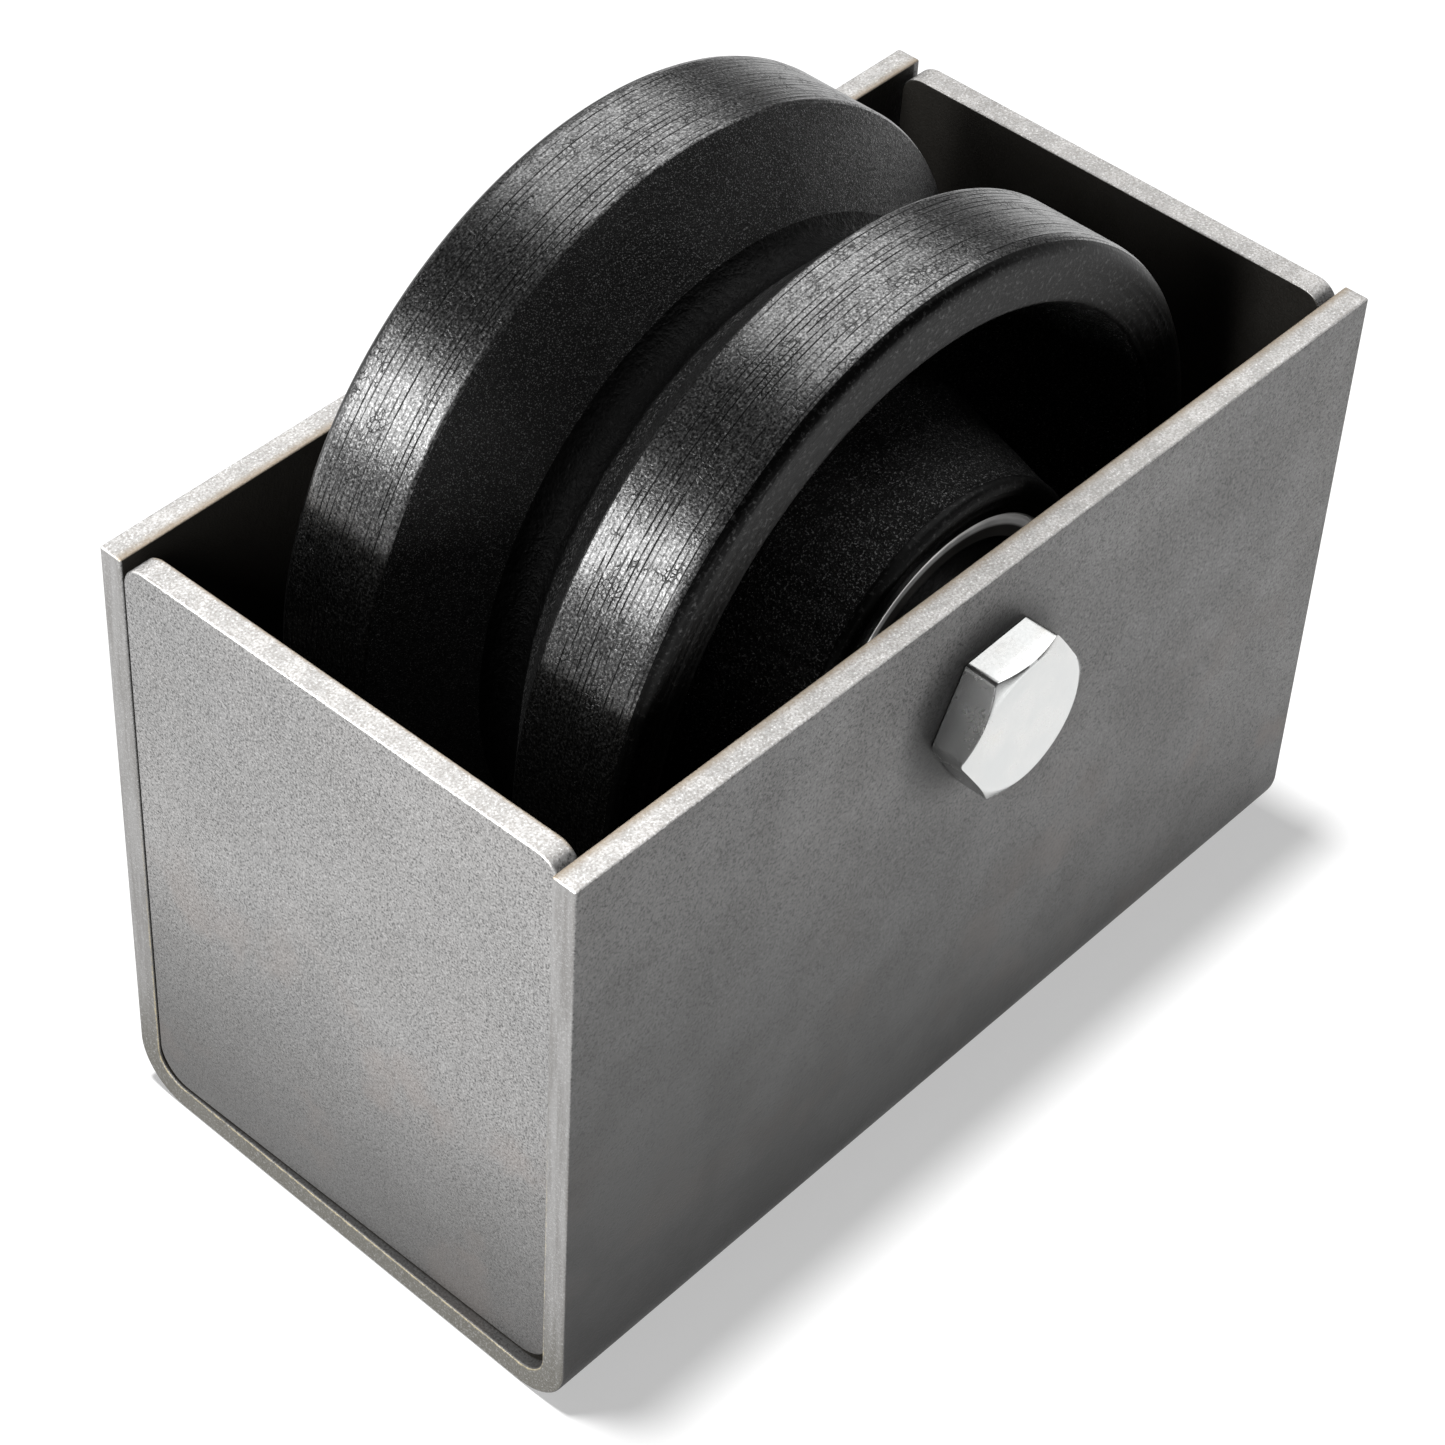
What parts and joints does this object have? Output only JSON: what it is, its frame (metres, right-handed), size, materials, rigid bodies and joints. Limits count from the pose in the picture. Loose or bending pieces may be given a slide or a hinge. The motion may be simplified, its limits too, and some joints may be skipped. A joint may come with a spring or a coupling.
{
  "type": "box-mounted v-groove wheel",
  "caption": "Cast V-groove wheel on ball bearings, bolted through an open-topped welded steel box that is welded to a gate or cart.",
  "frame": {"origin": "centre of the underside of the box's closed web", "axes": "+X along the box, +Y along the axle from bolt head to nut, +Z out of the box's open side"},
  "size_m": [0.1396, 0.0994, 0.1214],
  "materials": {
    "plate_steel": "bare mill-finish steel plate, fine mottled grain, ground edges",
    "weld_metal": "as-laid weld bead, rippled and slightly darkened",
    "zinc_steel": "bright zinc plate",
    "turned_steel": "turned steel",
    "bearing_steel": "ground and polished bearing steel",
    "cage_steel": "pressed steel cage",
    "cast_iron": "black, rough as cast, with turned crowns that show fine tool lines",
    "seal_rubber": "matt black moulded rubber",
    "insert_nylon": "blue nylon"
  },
  "bodies": {
    "box": {"channel_body": "plate_steel", "end_plate_left": "plate_steel", "end_plate_right": "plate_steel", "corner_welds_left": "weld_metal", "corner_welds_right": "weld_metal", "axle_bolt": "zinc_steel", "flat_washer": "zinc_steel", "lock_nut": "zinc_steel", "nut_insert": "insert_nylon", "axle_sleeve": "turned_steel", "centre_spacer": "turned_steel", "side_spacer_near": "turned_steel", "side_spacer_far": "turned_steel", "bearing_inner_ring_near": "bearing_steel", "bearing_inner_ring_far": "bearing_steel"},
    "wheel": {"wheel_hub": "cast_iron", "wheel_rim_near": "cast_iron", "wheel_rim_far": "cast_iron", "bearing_outer_ring_near": "bearing_steel", "bearing_outer_ring_far": "bearing_steel", "bearing_seal_outboard_near": "seal_rubber", "bearing_seal_inboard_near": "seal_rubber", "bearing_seal_outboard_far": "seal_rubber", "bearing_seal_inboard_far": "seal_rubber"},
    "cage_near": {"bearing_cage_near": "cage_steel", "bearing_balls_near": "bearing_steel"},
    "cage_far": {"bearing_cage_far": "cage_steel", "bearing_balls_far": "bearing_steel"}
  },
  "joints": [
    {"name": "wheel_spin", "type": "hinge", "parent": "box", "child": "wheel", "pos_m": [0, 0.0008, 0.0692], "axis": [0, 1, 0], "continuous": true},
    {"name": "cage_near_spin", "type": "hinge", "parent": "box", "child": "cage_near", "pos_m": [0, 0.0008, 0.0692], "axis": [0, 1, 0], "continuous": true},
    {"name": "cage_far_spin", "type": "hinge", "parent": "box", "child": "cage_far", "pos_m": [0, 0.0008, 0.0692], "axis": [0, 1, 0], "continuous": true}
  ],
  "couplings": [
    {"joint": "cage_near_spin", "follows": "wheel_spin", "ratio": 0.6175},
    {"joint": "cage_far_spin", "follows": "wheel_spin", "ratio": 0.6175}
  ]
}
